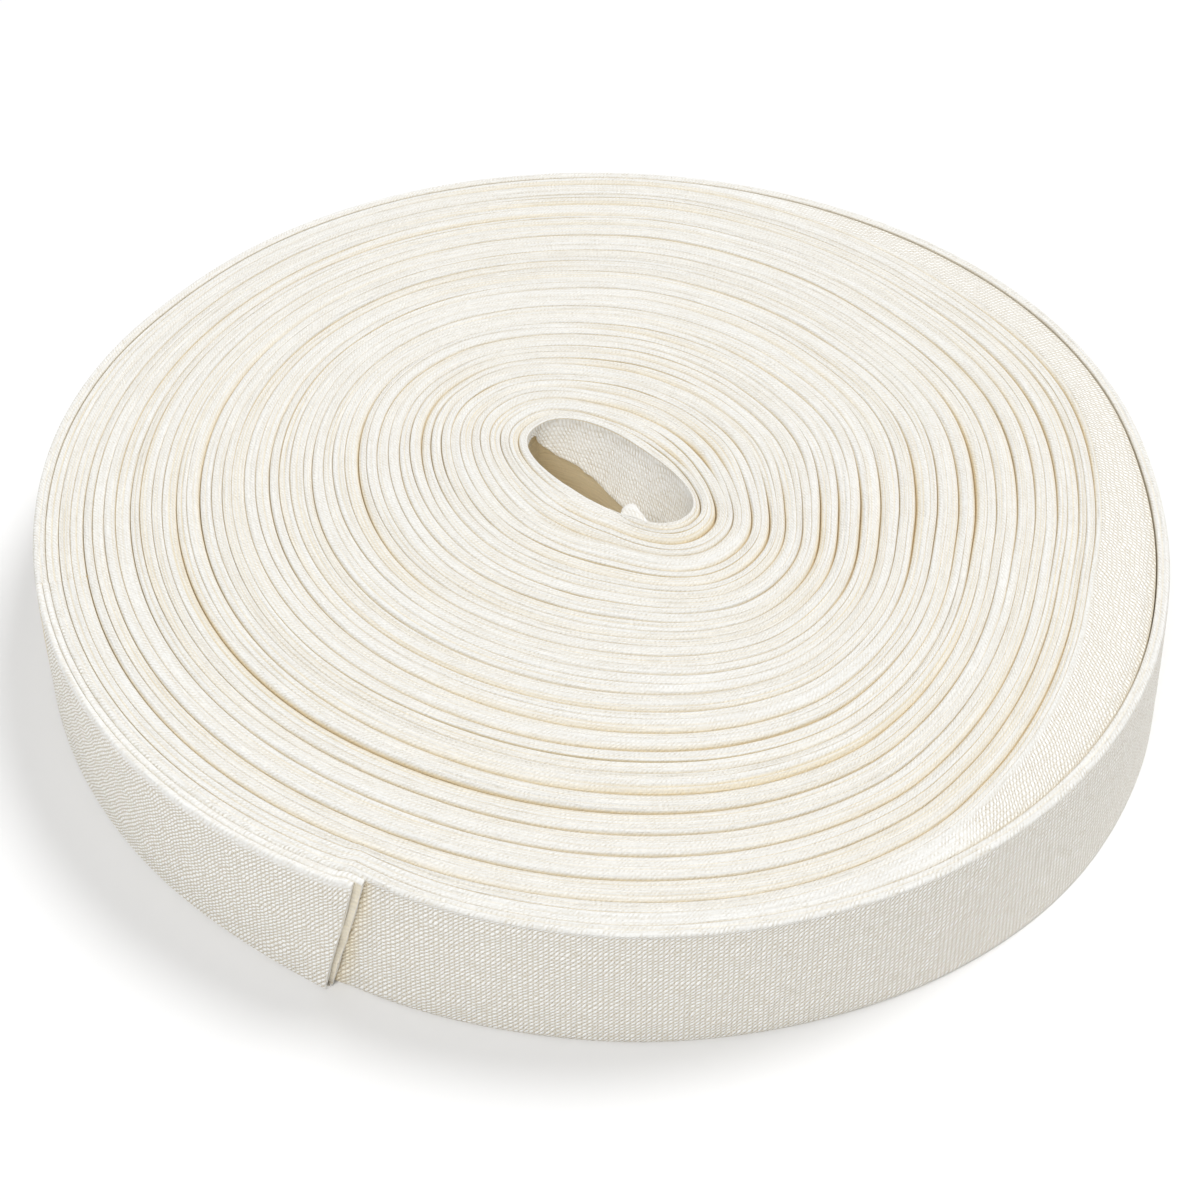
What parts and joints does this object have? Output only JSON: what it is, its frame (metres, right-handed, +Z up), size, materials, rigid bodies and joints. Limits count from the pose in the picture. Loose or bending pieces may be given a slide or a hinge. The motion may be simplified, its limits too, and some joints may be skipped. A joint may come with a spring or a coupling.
{
  "type": "roll of bias tape",
  "caption": "Flat roll of ivory woven double-fold bias tape, wound on edge round a lens-shaped eye, with its loose outer end standing off the wall.",
  "frame": {"origin": "middle of the box round the roll, on the surface that it lies on", "axes": "+Z up through the eye, -Y towards the front, where the loose end is at the left of the middle"},
  "size_m": [0.1064, 0.107, 0.0127],
  "materials": {
    "tape_cloth": "plain-woven ivory cotton cut on the bias, soft matt with a faint sheen"
  },
  "bodies": {
    "root": {"roll": "tape_cloth", "loose_end": "tape_cloth"}
  },
  "joints": []
}
